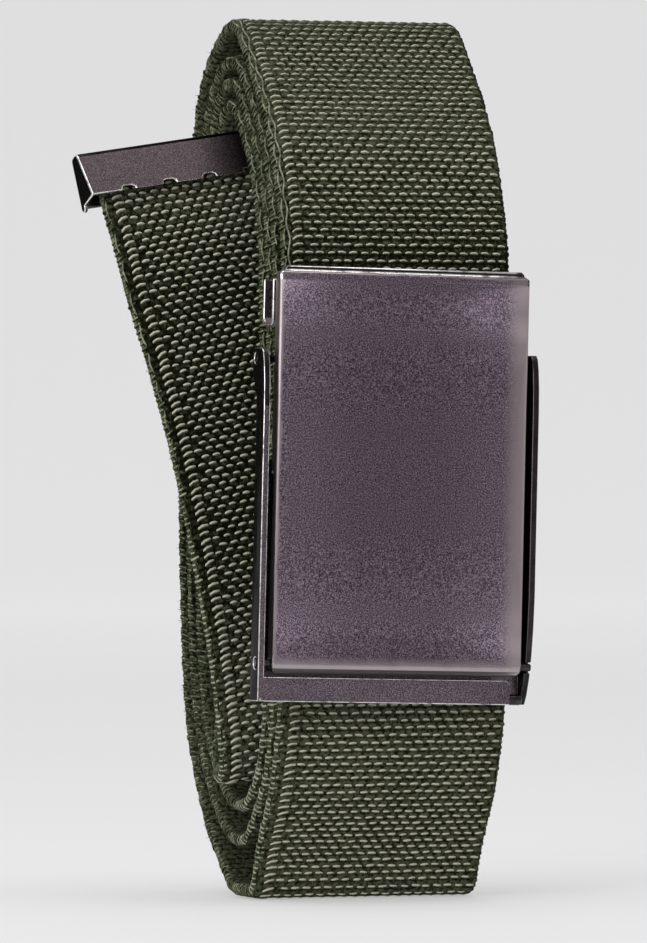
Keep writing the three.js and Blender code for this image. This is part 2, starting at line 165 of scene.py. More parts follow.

# Points round a yarn, as the angle from the side that faces on along the strap, and how pale it is there: a
# painted highlight on its upper side, painted shade beneath
FLOAT_RING = [(-15, 0.08), (36, 0.34), (57, 1), (76, 0.8), (102, 0.3), (176, 0.1)]
WRAP_RING = [(-20, 0.2), (34, 0.4), (60, 1), (86, 0.85), (120, 0.3), (200, 0.15)]
FIBRE_RING = [(0, 0.8), (120, 0.8), (240, 0.8)]

# The point at each end of a yarn: how far it stands out, and its share of the crest's painted highlight
YARN_POINT = 0.1
POINT_CREST = 0.3


def part_place():
    """Where the strap's own frame starts in the part, in metres."""
    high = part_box("strap")[1]
    return Vector([place - corner * MM for place, corner in zip(high, STRAP_HIGH_CORNER)])


PLACE = part_place()


def to_part(point):
    return PLACE + Vector(point) * MM


# Node trees
def feed(tree, socket, value):
    if isinstance(value, bpy.types.NodeSocket):
        tree.links.new(value, socket)
    elif value is not None:
        socket.default_value = value


def add_node(tree, kind, inputs=(), **settings):
    node = tree.nodes.new(kind)
    for name, value in settings.items():
        setattr(node, name, value)
    for key, value in dict(inputs).items():
        feed(tree, node.inputs[key], value)
    return node


def maths(tree, operation, a, b=None):
    node = add_node(tree, "ShaderNodeMath", operation=operation)
    feed(tree, node.inputs[0], a)
    if b is not None:
        feed(tree, node.inputs[1], b)
    return node.outputs[0]


def vectors(tree, operation, a, b=None):
    node = add_node(tree, "ShaderNodeVectorMath", operation=operation)
    feed(tree, node.inputs[0], a)
    if b is not None:
        feed(tree, node.inputs[1], b)
    return node.outputs["Value" if operation in ("DOT_PRODUCT", "LENGTH") else "Vector"]


def scaled(tree, vector, factor):
    node = add_node(tree, "ShaderNodeVectorMath", operation="SCALE")
    feed(tree, node.inputs[0], vector)
    feed(tree, node.inputs["Scale"], factor)
    return node.outputs["Vector"]


def axis_of(tree, vector, axis):
    return add_node(tree, "ShaderNodeSeparateXYZ", {"Vector": vector}).outputs[axis]


def plus(tree, base, value, weight, middle=0.0):
    """The base with the weighted distance of a value from its middle added."""
    distance = maths(tree, "SUBTRACT", value, middle) if middle else value
    return maths(tree, "ADD", base, maths(tree, "MULTIPLY", distance, weight))


def ranged(tree, value, start, end, low=0.0, high=1.0, ease="SMOOTHSTEP"):
    """Low where the value is at the start, high where it is at the end."""
    node = add_node(tree, "ShaderNodeMapRange", {"Value": value}, interpolation_type=ease)
    limits = {"From Min": start, "From Max": end, "To Min": low, "To Max": high}
    for label, limit in limits.items():
        feed(tree, node.inputs[label], limit)
    return node.outputs["Result"]


def new_tree(name, sizes):
    """An empty tree with a group input for each of (name, socket type, value)."""
    tree = bpy.data.node_groups.new(name, "GeometryNodeTree")
    tree.interface.new_socket("Geometry", in_out="OUTPUT", socket_type="NodeSocketGeometry")
    for label, kind, value in sizes:
        socket = tree.interface.new_socket(label, in_out="INPUT", socket_type=kind)
        if value is not None:
            socket.default_value = value
    return tree, tree.nodes.new("NodeGroupInput").outputs


def end_tree(tree, geometry, material):
    realized = add_node(tree, "GeometryNodeRealizeInstances", {"Geometry": geometry})
    painted = add_node(tree, "GeometryNodeSetMaterial",
                       {"Geometry": realized.outputs[0], "Material": material})
    output = tree.nodes.new("NodeGroupOutput")
    tree.links.new(painted.outputs[0], output.inputs[0])


def grown(name, tree, values):
    """A plain mesh object made by a tree with these values for its named inputs."""
    host = bpy.data.objects.new(name, bpy.data.meshes.new(name))
    bpy.context.scene.collection.objects.link(host)
    modifier = host.modifiers.new("made", "NODES")
    modifier.node_group = tree
    sockets = {s.name: s.identifier for s in tree.interface.items_tree if s.in_out == "INPUT"}
    for label, value in values.items():
        modifier[sockets[label]] = value
    graph = bpy.context.evaluated_depsgraph_get()
    made = bpy.data.meshes.new_from_object(host.evaluated_get(graph))
    host.modifiers.clear()
    host.data = made
    made.name = name
    return host


def directions(tree, tangent):
    """Across and outside directions of the strap where it runs along a tangent."""
    lean = vectors(tree, "DOT_PRODUCT", tangent, (1, 0, 0))
    level = vectors(tree, "SUBTRACT", (1, 0, 0), scaled(tree, tangent, lean))
    across = vectors(tree, "NORMALIZE", level)
    inside = vectors(tree, "CROSS_PRODUCT", tangent, across)
    return across, scaled(tree, inside, -1.0)


def above(tree, place, height, blend=20 * MM):
    """0 well below a height in the part, 1 well above it, with a soft change between."""
    low = maths(tree, "SUBTRACT", height, blend)
    high = maths(tree, "ADD", height, blend)
    return ranged(tree, axis_of(tree, place, "Z"), low, high)


# Path of the strap
def smooth_line(points, samples=24):
    """A centripetal curve through the points, as many short steps."""
    points = np.array(points, float)
    before = 2 * points[0] - points[1]
    after = 2 * points[-1] - points[-2]
    all_points = np.vstack([before, points, after])
    shares = np.arange(samples)[:, None] / samples
    line = []
    for p0, p1, p2, p3 in zip(all_points, all_points[1:], all_points[2:], all_points[3:]):
        d0, d1, d2 = (math.sqrt(np.linalg.norm(b - a)) for a, b in ((p0, p1), (p1, p2), (p2, p3)))
        start = ((p1 - p0) / d0 - (p2 - p0) / (d0 + d1) + (p2 - p1) / d1) * d1
        end = ((p2 - p1) / d1 - (p3 - p1) / (d1 + d2) + (p3 - p2) / d2) * d1
        cubic = 2 * p1 - 2 * p2 + start + end
        square = -3 * p1 + 3 * p2 - 2 * start - end
        line.append(p1 + start * shares + square * shares**2 + cubic * shares**3)
    line.append(points[-1:])
    return np.vstack(line)


def even_steps(line, step):
    lengths = np.concatenate([[0], np.cumsum(np.linalg.norm(np.diff(line, axis=0), axis=1))])
    marks = np.linspace(0, lengths[-1], round(lengths[-1] / step) + 1)
    return np.stack([np.interp(marks, lengths, line[:, i]) for i in range(3)], axis=1), lengths[-1]


def strap_path():
    turns = [[0, y, z] for y, z in FIRST_TURN + SECOND_TURN + THIRD_TURN + FOURTH_TURN]
    points, length = even_steps(smooth_line(CLAMP_ROWS + turns + FREE_END), PATH_STEP)
    data = bpy.data.curves.new("strap_path", "CURVE")
    data.dimensions = "3D"
    spline = data.splines.new("POLY")
    spline.points.add(len(points) - 1)
    placed = np.array([to_part(p) for p in points])
    spline.points.foreach_set("co", np.column_stack([placed, np.ones(len(placed))]).ravel())
    path = bpy.data.objects.new("strap_path", data)
    bpy.context.scene.collection.objects.link(path)
    path.hide_render = True
    return path, length


# Materials
def surface(name):
    """A new material, as (material, node tree, shader, place on the object)."""
    material = bpy.data.materials.new(name)
    material.use_nodes = True
    tree = material.node_tree
    place = add_node(tree, "ShaderNodeTexCoord").outputs["Object"]
    return material, tree, tree.nodes["Principled BSDF"], place


def set_shader(shader, **values):
    """Constant inputs of the shader, each by its name with _ for a space."""
    for label, value in values.items():
        shader.inputs[label.replace("_", " ")].default_value = value


def attribute(tree, name, output="Fac"):
    return add_node(tree, "ShaderNodeAttribute", attribute_name=name).outputs[output]


def ramp(tree, value, stops):
    node = add_node(tree, "ShaderNodeValToRGB", {"Fac": value})
    elements = node.color_ramp.elements
    for element, (position, colour) in zip(elements, (stops[0], stops[-1])):
        element.position = position
        element.color = (*colour, 1)
    for position, colour in stops[1:-1]:
        elements.new(position).color = (*colour, 1)
    return node.outputs["Color"]


def noise(tree, place, scale, detail=3.0, roughness=0.6):
    """Noise from 0 to 1 with so many cells a metre."""
    node = add_node(tree, "ShaderNodeTexNoise",
                    {"Vector": place, "Scale": scale, "Detail": detail, "Roughness": roughness})
    return node.outputs["Fac"]


def bumped(tree, shader, height, strength, distance):
    node = add_node(tree, "ShaderNodeBump",
                    {"Height": height, "Strength": strength, "Distance": distance * MM})
    tree.links.new(node.outputs["Normal"], shader.inputs["Normal"])


def mixed(tree, factor, a, b, blend="MIX"):
    node = add_node(tree, "ShaderNodeMix", data_type="RGBA", blend_type=blend)
    feed(tree, node.inputs[0], factor)
    feed(tree, node.inputs[6], a)
    feed(tree, node.inputs[7], b)
    return node.outputs[2]


def at_folds(tree, place):
    """1 where the web is bent over the top and the bottom of the coil, 0 between."""
    height = axis_of(tree, place, "Z")
    levels = [(to_part((0, 0, clear)).z, to_part((0, 0, bent)).z) for clear, bent in FOLDS]
    return maths(tree, "MAXIMUM", *[ranged(tree, height, clear, bent) for clear, bent in levels])


# Colour that yarn gives to the light it mirrors
YARN_SHEEN = (0.9, 0.92, 0.5, 1)


def yarn_material():
    """Olive yarn: painted shade beneath and between the threads, a painted highlight on their crests, and
    painted light where the strap bends at the top and the bottom of the coil.
    """
    material, tree, shader, place = surface("olive_yarn")
    fibres = noise(tree, place, 4300.0, roughness=0.7)
    tufts = noise(tree, place, 1500.0, detail=4.0, roughness=0.7)
    # The crest attribute is a painted highlight on the upper side of each yarn, with painted shade beneath
    lift = plus(tree, attribute(tree, "crest"), fibres, 0.5, middle=0.5)
    lift = plus(tree, lift, tufts, 0.9, middle=0.5)
    # The tone carries painted light over the free end
    lift = plus(tree, lift, attribute(tree, "tone"), TONE_WEIGHT, middle=0.5)
    # Painted light: paler where the strap bends over the top and the bottom of the coil
    lift = plus(tree, lift, at_folds(tree, place), 0.2)
    colour = ramp(tree, lift, [
        (0.02, (0.0042, 0.0045, 0.0018)),
        (0.2, (0.0165, 0.0178, 0.009)),
        (0.38, (0.068, 0.071, 0.042)),
        (0.64, (0.172, 0.174, 0.122)),
        (1.0, (0.45, 0.445, 0.365)),
    ])
    feed(tree, shader.inputs["Base Color"], colour)
    set_shader(shader, Roughness=0.6, Specular_IOR_Level=0.2, Specular_Tint=YARN_SHEEN)
    bumped(tree, shader, tufts, strength=0.5, distance=0.15)
    return material


def edge_material():
    """The fuzzy olive yarn of the edges: greener and more uneven than the floats, with a painted highlight
    on the crest of each wrap and painted shade beneath.
    """
    material, tree, shader, place = surface("edge_yarn")
    fuzz = noise(tree, place, 1700.0, detail=6.0, roughness=0.8)
    clumps = noise(tree, place, 420.0)
    lift = plus(tree, attribute(tree, "crest"), fuzz, 1.8, middle=0.5)
    lift = plus(tree, lift, clumps, 1.0, middle=0.5)
    # The tone carries painted shade on wraps that face the rear
    lift = plus(tree, lift, attribute(tree, "tone"), TONE_WEIGHT)
    colour = ramp(tree, lift, [
        (0.0, (0.009, 0.0105, 0.0055)),
        (0.2, (0.034, 0.041, 0.021)),
        (0.45, (0.098, 0.112, 0.064)),
        (0.95, (0.42, 0.42, 0.33)),
    ])
    feed(tree, shader.inputs["Base Color"], colour)
    set_shader(shader, Roughness=0.9, Specular_IOR_Level=0.1, Specular_Tint=YARN_SHEEN)
    bumped(tree, shader, fuzz, strength=1.0, distance=0.3)
    return material


def humps(tree, count, sharpness):
    """One rounded hump for each whole step of a count."""
    swing = maths(tree, "SINE", maths(tree, "MULTIPLY", count, math.pi))
    return maths(tree, "POWER", maths(tree, "ABSOLUTE", swing), sharpness)


def web_material():
    """The web between the yarns and inside the coil: woven rows by bump and colour, painted paler at the
    folds as light.
    """
    material, tree, shader, place = surface("olive_web")
    cloth = attribute(tree, "cloth", "Vector")
    row = maths(tree, "DIVIDE", axis_of(tree, cloth, "X"), ROW_SPACING * MM)
    shift = maths(tree, "MULTIPLY", maths(tree, "FLOOR", row), 0.45)
    column = maths(tree, "ADD", maths(tree, "DIVIDE", axis_of(tree, cloth, "Y"), FLOAT_PITCH * MM), shift)
    weave = maths(tree, "MULTIPLY", humps(tree, row, 0.7), humps(tree, column, 0.45))
    fuzz = noise(tree, place, 1700.0, detail=5.0, roughness=0.75)
    lift = plus(tree, 0.06, weave, 0.45)
    lift = plus(tree, lift, fuzz, 2.6, middle=0.5)
    # Painted light: paler where the strap bends over the top and the bottom of the coil
    lift = plus(tree, lift, at_folds(tree, place), 0.34)
    colour = ramp(tree, lift, [
        (0.1, (0.0026, 0.003, 0.001)),
        (0.45, (0.014, 0.016, 0.0075)),
        (0.9, (0.092, 0.098, 0.06)),
    ])
    feed(tree, shader.inputs["Base Color"], colour)
    set_shader(shader, Roughness=0.85, Specular_IOR_Level=0.05, Specular_Tint=YARN_SHEEN)
    bumped(tree, shader, lift, strength=0.8, distance=0.3)
    return material


def speckled(tree, place, dark, pale):
    """Fine light and dark grains, as (colour, height of the grains)."""
    grains = noise(tree, place, 4600.0, roughness=0.85)
    spots = ramp(tree, grains, [(0.38, (0, 0, 0)), (0.5, (0.28, 0.28, 0.28)), (0.62, (1, 1, 1))])
    return mixed(tree, spots, (*dark, 1), (*pale, 1)), grains


def gunmetal_material(name, dark, pale):
    """Satin gunmetal coat with a fine speckle and faint clouds."""
    material, tree, shader, place = surface(name)
    colour, grains = speckled(tree, place, dark, pale)
    cloud = noise(tree, place, 150.0, detail=4.0)
    shade = mixed(tree, cloud, (0.8, 0.8, 0.8, 1), (1.2, 1.18, 1.16, 1))
    feed(tree, shader.inputs["Base Color"], mixed(tree, 1.0, colour, shade, "MULTIPLY"))
    feed(tree, shader.inputs["Roughness"], plus(tree, 0.27, cloud, 0.14))
    set_shader(shader, Metallic=0.92)
    bumped(tree, shader, grains, strength=0.18, distance=0.04)
    return material


def side_material(name, dark, pale, graze, metallic):
    """The same coat where it is smooth, on bent sides and the insides of folds, in a colour given by each
    use: darker where it is painted shade, paler where it is a painted reflection.
    """
    material, tree, shader, place = surface(name)
    streaks = noise(tree, place, 420.0, detail=4.0)
    feed(tree, shader.inputs["Base Color"], ramp(tree, streaks, [(0.3, dark), (0.7, pale)]))
    feed(tree, shader.inputs["Roughness"], plus(tree, 0.16, streaks, 0.16))
    set_shader(shader, Metallic=metallic, Specular_Tint=(graze, graze, graze, 1))
    return material


def rim_material():
    """Bare metal where the coat has worn off an edge, painted dark on the far right as shade."""
    material, tree, shader, place = surface("worn_rim_shaded_right")
    wear = noise(tree, place, 600.0)
    bare = ramp(tree, wear, [(0.34, (0.24, 0.22, 0.225)), (0.52, (0.82, 0.79, 0.78))])
    shade_starts = to_part((RIM_SHADE_FROM, 0, 0)).x
    shade_whole = to_part((RIM_SHADE_FROM + RIM_SHADE_BLEND, 0, 0)).x
    # Painted shade: rims on the far right are dulled
    right = ranged(tree, axis_of(tree, place, "X"), shade_starts, shade_whole, ease="LINEAR")
    feed(tree, shader.inputs["Base Color"], mixed(tree, right, bare, (0.085, 0.072, 0.073, 1)))
    feed(tree, shader.inputs["Roughness"], plus(tree, 0.18, wear, 0.15))
    set_shader(shader, Metallic=1.0)
    return material


def cover_distances(tree, place):
    """Distances from the right, left, foot and head of the cover's front, by name."""
    middle = add_node(tree, "ShaderNodeMapping", {"Vector": place, "Rotation": (0, COVER_ROLL, 0)},
                      vector_type="TEXTURE")
    middle.inputs["Location"].default_value = to_part(COVER_CENTRE)
    across = axis_of(tree, middle.outputs[0], "X")
    up = axis_of(tree, middle.outputs[0], "Z")
    return {
        "right": maths(tree, "SUBTRACT", COVER_HALF_WIDTH * MM, across),
        "left": maths(tree, "ADD", COVER_HALF_WIDTH * MM, across),
        "foot": maths(tree, "ADD", COVER_HALF_HEIGHT * MM, up),
        "head": maths(tree, "SUBTRACT", COVER_HALF_HEIGHT * MM, up),
    }


def cover_material():
    """The cover's coat: speckled and darkest in the middle, paler towards its sides and ends, as a painted
    reflection; smooth on its bends and painted paler there as a highlight, palest at the foot as a painted
    reflection of the floor, and painted dark as shade on the lip at its head.
    """
    material, tree, shader, place = surface("cover_gunmetal")
    distances = cover_distances(tree, place)
    uneven = maths(tree, "MULTIPLY", maths(tree, "SUBTRACT", noise(tree, place, 260.0), 0.5), 1.2 * MM)

    def near_edge(side, near, far):
        """1 nearer to a side than the first distance, 0 beyond the second."""
        return ranged(tree, maths(tree, "ADD", distances[side], uneven), near * MM, far * MM, 1.0, 0.0)

    # Painted reflection of the floor: the foot's bend, which faces down, is painted palest
    foot = near_edge("foot", 1.0, 3.2)
    bends = maths(tree, "MAXIMUM", near_edge("right", 1.2, 4.6), near_edge("left", 0.3, 0.7))
    bends = maths(tree, "MAXIMUM", bends, foot)
    bends = maths(tree, "MAXIMUM", bends, near_edge("head", 0.2, 0.5))
    # Painted reflection: darkest in the middle, paler towards the sides and ends
    sides = maths(tree, "MAXIMUM", near_edge("right", 2, 17), near_edge("left", 2, 15))
    ends = maths(tree, "MAXIMUM", near_edge("foot", 2, 24), near_edge("head", 2, 16))
    outer = plus(tree, maths(tree, "MULTIPLY", sides, 0.5), ends, 0.5)
    colour, grains = speckled(tree, place, dark=(0.03, 0.021, 0.029), pale=(0.37, 0.29, 0.365))
    shade = mixed(tree, outer, (0.74, 0.74, 0.76, 1), (1.22, 1.2, 1.2, 1))
    coat = mixed(tree, 1.0, colour, shade, "MULTIPLY")
    # The bends are smooth, and painted paler than the coat as a highlight
    bare = mixed(tree, foot, (0.29, 0.24, 0.255, 1), (0.44, 0.38, 0.4, 1))
    highlighted_coat = mixed(tree, bends, coat, bare)
    # Painted shade: the lip at the head is painted near black
    lip = near_edge("head", -0.12, 0.0)
    feed(tree, shader.inputs["Base Color"], mixed(tree, lip, highlighted_coat, (0.03, 0.025, 0.027, 1)))
    feed(tree, shader.inputs["Roughness"], plus(tree, 0.37, bends, -0.03))
    set_shader(shader, Metallic=0.92)
    grainy = maths(tree, "MULTIPLY", grains, maths(tree, "SUBTRACT", 1.0, bends))
    bumped(tree, shader, grainy, strength=0.2, distance=0.04)
    return material


def pin_material():
    """Dark blued steel, smooth and glossy."""
    material, tree, shader, place = surface("dark_pin")
    streaks = noise(tree, place, 900.0)
    colour = ramp(tree, streaks, [(0.3, (0.025, 0.022, 0.024)), (0.7, (0.07, 0.062, 0.065))])
    feed(tree, shader.inputs["Base Color"], colour)
    feed(tree, shader.inputs["Roughness"], plus(tree, 0.14, streaks, 0.12))
    set_shader(shader, Metallic=0.9)
    return material


# Strap
def band_tree():
    """A rounded band carried along the strap's path."""
    tree, inp = new_tree("woven_band", [
        ("Path", "NodeSocketObject", None), ("Width", "NodeSocketFloat", WEB_WIDTH * MM),
        ("Thickness", "NodeSocketFloat", WEB_THICKNESS * MM),
        ("Corner", "NodeSocketFloat", WEB_CORNER * MM), ("Material", "NodeSocketMaterial", None),
    ])
    path = add_node(tree, "GeometryNodeObjectInfo", {"Object": inp["Path"]}).outputs["Geometry"]
    tangent = add_node(tree, "GeometryNodeInputTangent").outputs[0]
    across, _ = directions(tree, tangent)
    turned = add_node(tree, "GeometryNodeSetCurveNormal", {"Curve": path}, mode="FREE")
    feed(tree, turned.inputs["Normal"], across)
    along = add_node(tree, "GeometryNodeSplineParameter").outputs["Length"]
    marked = add_node(tree, "GeometryNodeCaptureAttribute", {"Geometry": turned.outputs[0]})
    marked.capture_items.new("FLOAT", "along")
    feed(tree, marked.inputs["along"], along)
    oblong = add_node(tree, "GeometryNodeCurvePrimitiveQuadrilateral",
                      {"Width": inp["Width"], "Height": inp["Thickness"]})
    rounded = add_node(tree, "GeometryNodeFilletCurve",
                       {"Curve": oblong.outputs[0], "Radius": inp["Corner"], "Count": 3}, mode="POLY")
    place = add_node(tree, "GeometryNodeInputPosition").outputs[0]
    section = add_node(tree, "GeometryNodeCaptureAttribute", {"Geometry": rounded.outputs[0]})
    section.capture_items.new("VECTOR", "section")
    feed(tree, section.inputs["section"], place)
    band = add_node(tree, "GeometryNodeCurveToMesh",
                    {"Curve": marked.outputs[0], "Profile Curve": section.outputs[0], "Fill Caps": True})
    cloth = add_node(tree, "ShaderNodeCombineXYZ", {
        "X": marked.outputs["along"],
        "Y": axis_of(tree, section.outputs["section"], "X"),
        "Z": axis_of(tree, section.outputs["section"], "Y"),
    })
    stored = add_node(tree, "GeometryNodeStoreNamedAttribute",
                      {"Geometry": band.outputs[0], "Name": "cloth", "Value": cloth.outputs[0]},
                      data_type="FLOAT_VECTOR", domain="POINT")
    smooth = add_node(tree, "GeometryNodeSetShadeSmooth", {"Geometry": stored.outputs[0]})
    end_tree(tree, smooth.outputs[0], inp["Material"])
    return tree


def rows_tree():
    """Yarns set in rows on one face of the strap, each row shifted from the last."""
    tree, inp = new_tree("rows_of_yarn", [
        ("Path", "NodeSocketObject", None), ("Yarn", "NodeSocketObject", None),
        ("Start", "NodeSocketFloat", 0.0), ("Rows", "NodeSocketInt", 10),
        ("Columns", "NodeSocketInt", 1), ("Row Spacing", "NodeSocketFloat", ROW_SPACING * MM),
        ("Pitch", "NodeSocketFloat", FLOAT_PITCH * MM),
        ("First Across", "NodeSocketFloat", 0.0), ("Row Shift", "NodeSocketFloat", 0.0),
        ("Height", "NodeSocketFloat", 0.0), ("Jitter", "NodeSocketFloat", YARN_JITTER * MM),
        ("Turn", "NodeSocketFloat", YARN_TURN), ("Tone Change", "NodeSocketFloat", 0.0),
        ("Change Above", "NodeSocketFloat", CHANGE_HEIGHT * MM),
        ("Seed", "NodeSocketInt", 1), ("Material", "NodeSocketMaterial", None),
    ])
    count = maths(tree, "MULTIPLY", inp["Rows"], inp["Columns"])
    points = add_node(tree, "GeometryNodePoints", {"Count": count})
    index = add_node(tree, "GeometryNodeInputIndex").outputs[0]
    row = maths(tree, "FLOOR", maths(tree, "DIVIDE", index, inp["Columns"]))
    column = maths(tree, "SUBTRACT", index, maths(tree, "MULTIPLY", row, inp["Columns"]))
    shift = maths(tree, "FRACT", maths(tree, "MULTIPLY", row, inp["Row Shift"]))

    def random_between(low, high, offset):
        node = add_node(tree, "FunctionNodeRandomValue", data_type="FLOAT")
        feed(tree, node.inputs[2], low)
        feed(tree, node.inputs[3], high)
        feed(tree, node.inputs["Seed"], maths(tree, "ADD", inp["Seed"], float(offset)))
        return node.outputs[1]

    slack = maths(tree, "MULTIPLY", inp["Jitter"], -1.0)
    length = maths(tree, "ADD", inp["Start"], maths(tree, "MULTIPLY", row, inp["Row Spacing"]))
    length = maths(tree, "ADD", length, random_between(slack, inp["Jitter"], 1))
    step = maths(tree, "MULTIPLY", maths(tree, "ADD", column, shift), inp["Pitch"])
    aside = maths(tree, "ADD", inp["First Across"], step)
    aside = maths(tree, "ADD", aside, random_between(slack, inp["Jitter"], 2))
    path = add_node(tree, "GeometryNodeObjectInfo", {"Object": inp["Path"]}).outputs["Geometry"]
    sample = add_node(tree, "GeometryNodeSampleCurve", {"Curves": path}, mode="LENGTH")
    feed(tree, sample.inputs["Length"], length)
    across, outside = directions(tree, sample.outputs["Tangent"])
    place = vectors(tree, "ADD", sample.outputs["Position"], scaled(tree, across, aside))
    place = vectors(tree, "ADD", place, scaled(tree, outside, inp["Height"]))
    placed = add_node(tree, "GeometryNodeSetPosition", {"Geometry": points.outputs[0], "Position": place})
    # The change is whole where the strap's outside faces the rear or the yarn lies above Change Above;
    # below zero it is painted shade, above zero painted light
    rear = ranged(tree, vectors(tree, "DOT_PRODUCT", outside, (0, 1, 0)), *REAR_SHADE_RANGE)
    change = maths(tree, "MAXIMUM", above(tree, place, inp["Change Above"]), rear)
    shade = plus(tree, random_between(0.0, 1.0, 3), change, inp["Tone Change"])
    tone = add_node(tree, "GeometryNodeStoreNamedAttribute",
                    {"Geometry": placed.outputs[0], "Name": "tone", "Value": shade},
                    data_type="FLOAT", domain="POINT")
    turn = add_node(tree, "FunctionNodeAxesToRotation", primary_axis="Z", secondary_axis="X")
    feed(tree, turn.inputs[0], outside)
    feed(tree, turn.inputs[1], across)
    twist = add_node(tree, "FunctionNodeAxisAngleToRotation", {"Axis": (0, 0, 1)})
    low = maths(tree, "MULTIPLY", inp["Turn"], -1.0)
    feed(tree, twist.inputs["Angle"], random_between(low, inp["Turn"], 4))
    both = add_node(tree, "FunctionNodeRotateRotation", rotation_space="LOCAL")
    feed(tree, both.inputs[0], turn.outputs[0])
    feed(tree, both.inputs[1], twist.outputs[0])
    yarn = add_node(tree, "GeometryNodeObjectInfo", {"Object": inp["Yarn"]}).outputs["Geometry"]
    set_out = add_node(tree, "GeometryNodeInstanceOnPoints", {"Points": tone.outputs[0], "Instance": yarn})
    feed(tree, set_out.inputs["Rotation"], both.outputs[0])
    feed(tree, set_out.inputs["Scale"], random_between(*YARN_SIZES, 5))
    end_tree(tree, set_out.outputs[0], inp["Material"])
    return tree


def cord_tree():
    """A thin cord that runs beside the strap's path."""
    tree, inp = new_tree("edge_cord", [
        ("Path", "NodeSocketObject", None), ("Across", "NodeSocketFloat", 0.0),
        ("Out", "NodeSocketFloat", 0.0), ("Radius", "NodeSocketFloat", CORD_RADIUS * MM),
        ("Sides", "NodeSocketInt", 6), ("Wave", "NodeSocketFloat", 0.0),
        ("Wave Length", "NodeSocketFloat", CORD_WAVE_LENGTH * MM), ("Low Crest", "NodeSocketFloat", 0.3),
        ("High Crest", "NodeSocketFloat", 0.8), ("Change Height", "NodeSocketFloat", CHANGE_HEIGHT * MM),
        ("End", "NodeSocketFloat", WHOLE_PATH * MM),
        ("Material", "NodeSocketMaterial", None),
    ])
    whole = add_node(tree, "GeometryNodeObjectInfo", {"Object": inp["Path"]}).outputs["Geometry"]
    trimmed = add_node(tree, "GeometryNodeTrimCurve", {"Curve": whole}, mode="LENGTH")
    start_length, end_length = trimmed.inputs[4:6]
    start_length.default_value = 0.0
    feed(tree, end_length, inp["End"])
    path = trimmed.outputs[0]
    tangent = add_node(tree, "GeometryNodeInputTangent").outputs[0]
    across, outside = directions(tree, tangent)
    along = add_node(tree, "GeometryNodeSplineParameter").outputs["Length"]
    waves = maths(tree, "DIVIDE", along, inp["Wave Length"])
    swing = maths(tree, "SINE", maths(tree, "MULTIPLY", waves, math.tau))
    sideways = plus(tree, inp["Across"], swing, inp["Wave"])
    aside = vectors(tree, "ADD", scaled(tree, across, sideways), scaled(tree, outside, inp["Out"]))
    moved = add_node(tree, "GeometryNodeSetPosition", {"Geometry": path, "Offset": aside})
    ring = add_node(tree, "GeometryNodeCurvePrimitiveCircle",
                    {"Resolution": inp["Sides"], "Radius": inp["Radius"]})
    cord = add_node(tree, "GeometryNodeCurveToMesh",
                    {"Curve": moved.outputs[0], "Profile Curve": ring.outputs[0], "Fill Caps": True})
    place = add_node(tree, "GeometryNodeInputPosition").outputs[0]
    rise = maths(tree, "SUBTRACT", inp["High Crest"], inp["Low Crest"])
    pale = plus(tree, inp["Low Crest"], above(tree, place, inp["Change Height"]), rise)
    crest = add_node(tree, "GeometryNodeStoreNamedAttribute",
                     {"Geometry": cord.outputs[0], "Name": "crest", "Value": pale},
                     data_type="FLOAT", domain="POINT")
    smooth = add_node(tree, "GeometryNodeSetShadeSmooth", {"Geometry": crest.outputs[0]})
    end_tree(tree, smooth.outputs[0], inp["Material"])
    return tree


def tube_along(name, points, radii, ring, crests, side=1):
    """A closed tube of yarn through points, each with a width and a height radius, as a hidden piece.

    The ring gives the tube's section and how pale it is round it, as a painted highlight with painted shade
    beneath, and side -1 mirrors the tube.
    """
    points = np.array(points, float) * MM
    sides = len(ring)
    tangents = np.gradient(points, axis=0)
    tangents /= np.linalg.norm(tangents, axis=1)[:, None]
    mesh = bpy.data.meshes.new(name)
    angles = [math.radians(angle) for angle, _ in ring]
    vertices = []
    pale = []
    for p, t, (wide, high), crest in zip(points, tangents, np.array(radii, float) * MM, crests):
        onward = np.array((0.0, 1.0, 0.0))
        up = np.cross(t, onward)
        up /= np.linalg.norm(up)
        vertices += [p + onward * wide * math.cos(a) + up * high * math.sin(a) for a in angles]
        pale += [crest * light for _, light in ring]
    vertices += [points[0] - tangents[0] * YARN_POINT * MM, points[-1] + tangents[-1] * YARN_POINT * MM]
    pale += [POINT_CREST * crests[0], POINT_CREST * crests[-1]]
    faces = []
    for i in range(len(points) - 1):
        for k in range(sides):
            a = i * sides + k
            b = i * sides + (k + 1) % sides
            faces.append((a, b, b + sides, a + sides))
    first = len(points) * sides
    last = first - sides
    for k in range(sides):
        faces.append((first, (k + 1) % sides, k))
        faces.append((first + 1, last + k, last + (k + 1) % sides))
    mesh.from_pydata([(side * x, y, z) for x, y, z in vertices], [], faces)
    mesh.shade_smooth()
    bm = bmesh.new()
    bm.from_mesh(mesh)
    bmesh.ops.recalc_face_normals(bm, faces=bm.faces)
    bm.to_mesh(mesh)
    bm.free()
    crest = mesh.attributes.new("crest", "FLOAT", "POINT")
    crest.data.foreach_set("value", pale)
    yarn = bpy.data.objects.new(name, mesh)
    bpy.context.scene.collection.objects.link(yarn)
    yarn.hide_render = True
    return yarn


def float_yarn():
    """One short float: a bean that dives into the web at both ends."""
    shares = (-1, -0.6, 0, 0.6, 1)
    points = [(0.87 * t, -0.12 * t * t, -0.26 * t * t) for t in shares]
    radii = [(0.16, 0.1), (0.33, 0.25), (0.37, 0.29), (0.33, 0.25), (0.16, 0.1)]
    return tube_along("float_yarn", points, radii, FLOAT_RING, (0.85, 1.05, 1.05, 1.05, 0.85))


